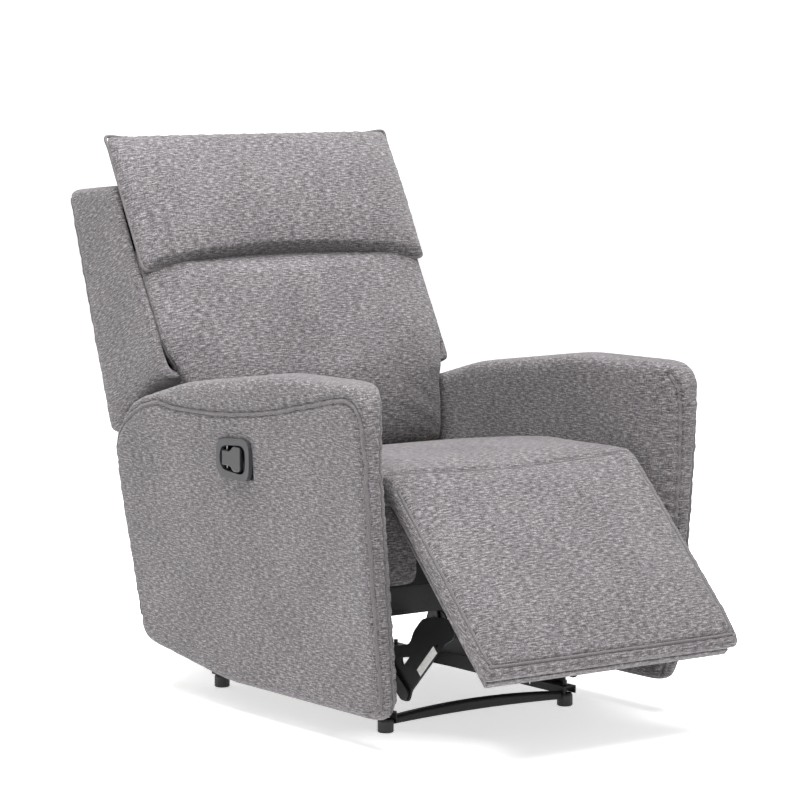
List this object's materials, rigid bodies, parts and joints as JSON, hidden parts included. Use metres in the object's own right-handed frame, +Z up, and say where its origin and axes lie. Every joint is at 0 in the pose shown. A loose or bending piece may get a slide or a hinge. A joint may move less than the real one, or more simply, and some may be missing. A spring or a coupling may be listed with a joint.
{
  "type": "recliner armchair",
  "caption": "Upholstered manual recliner armchair with padded arms, a lever-released fold-out footrest on link arms, and a push-back backrest with a headrest pillow.",
  "frame": {"origin": "on the floor under the middle of the chair's length and width, with the footrest half open", "axes": "+Z up, the chair faces -Y, the sitter's left side is +X"},
  "size_m": [0.756, 1.2488, 1.0303],
  "materials": {
    "tweed": "heather grey woven upholstery fabric",
    "dust_cloth": "black non-woven dust cloth",
    "timber": "raw hardwood and plywood frame",
    "black_steel": "satin black painted steel",
    "zinc_steel": "zinc plated steel",
    "grey_plastic": "matte dark grey moulded plastic",
    "black_plastic": "matte black moulded plastic"
  },
  "bodies": {
    "base": {"foot_front_right": "black_plastic", "foot_front_left": "black_plastic", "foot_rear_right": "black_plastic", "foot_rear_left": "black_plastic", "base_rail_right": "black_steel", "base_rail_left": "black_steel", "front_crossbar": "black_steel", "rear_crossbar": "black_steel", "base_upright_right": "black_steel", "base_upright_left": "black_steel", "arm_bracket_front_right": "black_steel", "arm_bracket_front_left": "black_steel", "arm_bracket_rear_right": "black_steel", "arm_bracket_rear_left": "black_steel", "arm_pad_right": "tweed", "arm_pad_left": "tweed", "arm_frame_right": "timber", "arm_frame_left": "timber", "release_bezel": "grey_plastic", "paddle_pin": "zinc_steel", "release_cable": "black_plastic", "latch_bracket": "black_steel"},
    "seat": {"seat_front_beam": "black_steel", "seat_front_board": "dust_cloth", "front_wrap_right": "tweed", "front_wrap_left": "tweed", "footrest_hinge_tab_right": "black_steel", "footrest_hinge_tab_left": "black_steel", "seat_side_rail_right": "timber", "seat_side_rail_left": "timber", "seat_rear_rail": "timber", "seat_spring_right": "zinc_steel", "seat_spring_middle": "zinc_steel", "seat_spring_left": "zinc_steel", "seat_plate_right": "black_steel", "seat_plate_left": "black_steel", "seat_cushion": "tweed", "back_hinge_pin_right": "zinc_steel", "back_hinge_pin_left": "zinc_steel"},
    "backrest": {"back_shell": "tweed", "back_frame": "timber", "back_bracket_right": "black_steel", "back_bracket_left": "black_steel", "back_cushion": "tweed", "headrest_pillow": "tweed"},
    "footrest": {"footrest_cushion": "tweed", "footrest_board": "tweed", "footrest_bracket_right": "black_steel", "footrest_bracket_left": "black_steel"},
    "rear_links": {"rear_link_right": "black_steel", "rear_link_left": "black_steel", "drive_tube": "black_steel"},
    "front_links": {"front_link_right": "black_steel", "front_link_left": "black_steel"},
    "front_swing_links": {"swing_link_front_right": "black_steel", "swing_link_front_left": "black_steel"},
    "rear_swing_links": {"swing_link_rear_right": "black_steel", "swing_link_rear_left": "black_steel"},
    "paddle": {"release_paddle": "grey_plastic"},
    "latch": {"latch_lever": "zinc_steel"}
  },
  "joints": [
    {"name": "seat_glide", "type": "slide", "parent": "base", "child": "seat", "axis": [0, -1, 0], "range_m": [0, 0.06]},
    {"name": "back_recline", "type": "hinge", "parent": "seat", "child": "backrest", "pos_m": [0, 0.28716, 0.29], "axis": [-1, 0, 0], "range_deg": [0, 38]},
    {"name": "footrest_fold", "type": "hinge", "parent": "seat", "child": "footrest", "pos_m": [0, -0.32784, 0.44], "axis": [-1, 0, 0], "range_deg": [-44, 45]},
    {"name": "rear_link_turn", "type": "hinge", "parent": "seat", "child": "rear_links", "pos_m": [0, -0.19984, 0.31], "axis": [-1, 0, 0], "range_deg": [-44, 45]},
    {"name": "front_link_turn", "type": "hinge", "parent": "rear_links", "child": "front_links", "pos_m": [0, -0.27284, 0.075], "axis": [-1, 0, 0], "range_deg": [-45, 44]},
    {"name": "front_swing", "type": "hinge", "parent": "base", "child": "front_swing_links", "pos_m": [0, -0.12284, 0.105], "axis": [1, 0, 0], "range_deg": [0, 24.8]},
    {"name": "rear_swing", "type": "hinge", "parent": "base", "child": "rear_swing_links", "pos_m": [0, 0.16716, 0.105], "axis": [1, 0, 0], "range_deg": [0, 24.8]},
    {"name": "paddle_pull", "type": "hinge", "parent": "base", "child": "paddle", "pos_m": [-0.368, 0.01566, 0.475], "axis": [0, 0, -1], "range_deg": [0, 28], "stiffness_Nm_per_rad": 0.4, "springref_deg": -11.46},
    {"name": "latch_turn", "type": "hinge", "parent": "base", "child": "latch", "pos_m": [-0.215, -0.04584, 0.088], "axis": [1, 0, 0], "range_deg": [0, 20]}
  ],
  "couplings": [
    {"joint": "seat_glide", "follows": "back_recline", "m_per_rad": 0.09046},
    {"joint": "front_swing", "follows": "back_recline", "ratio": 0.65262},
    {"joint": "rear_swing", "follows": "back_recline", "ratio": 0.65262},
    {"joint": "rear_link_turn", "follows": "footrest_fold", "ratio": 1},
    {"joint": "front_link_turn", "follows": "footrest_fold", "ratio": -1},
    {"joint": "latch_turn", "follows": "paddle_pull", "ratio": 0.71}
  ]
}
